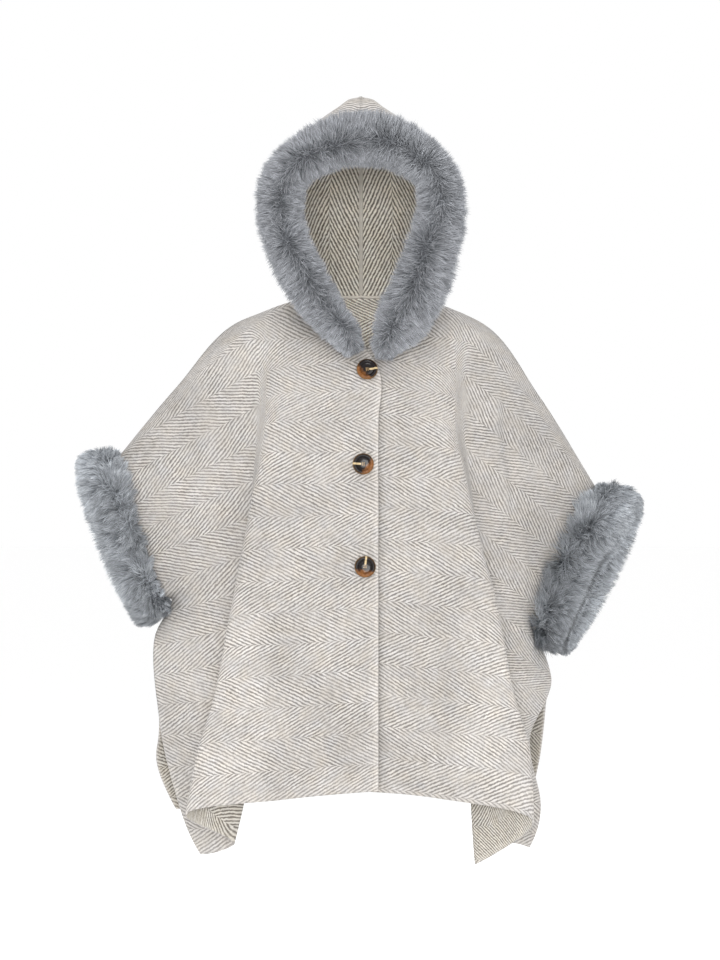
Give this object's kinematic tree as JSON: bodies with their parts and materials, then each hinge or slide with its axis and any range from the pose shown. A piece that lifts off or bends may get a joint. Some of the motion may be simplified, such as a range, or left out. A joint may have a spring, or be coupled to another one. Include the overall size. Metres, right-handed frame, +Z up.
{
  "type": "hooded poncho with fur trim",
  "caption": "Hooded batwing poncho in herringbone wool, buttoned in front, with fur round the hood and arm openings; hangs hollow from the shoulders.",
  "frame": {"origin": "between the shoulders, at the height where the wearer's shoulders carry the cloth, near the neck points", "axes": "+Z up, -Y towards the wearer's front, -X towards the wearer's right"},
  "size_m": [0.7197, 0.2531, 0.941],
  "materials": {
    "wool": "thick herringbone wool in cream and grey-brown with a felted nap",
    "fur": "short dense blue-grey faux fur",
    "binding": "plain woven tape",
    "tortoiseshell": "polished brown and amber tortoiseshell"
  },
  "bodies": {
    "root": {"front_right": "wool", "front_left": "wool", "back": "wool", "hood_right": "wool", "hood_left": "wool", "hood_fur": "fur", "cuff_fur_right": "fur", "cuff_fur_left": "fur", "neck_binding": "binding", "button_top": "tortoiseshell", "button_middle": "tortoiseshell", "button_bottom": "tortoiseshell"}
  },
  "joints": []
}
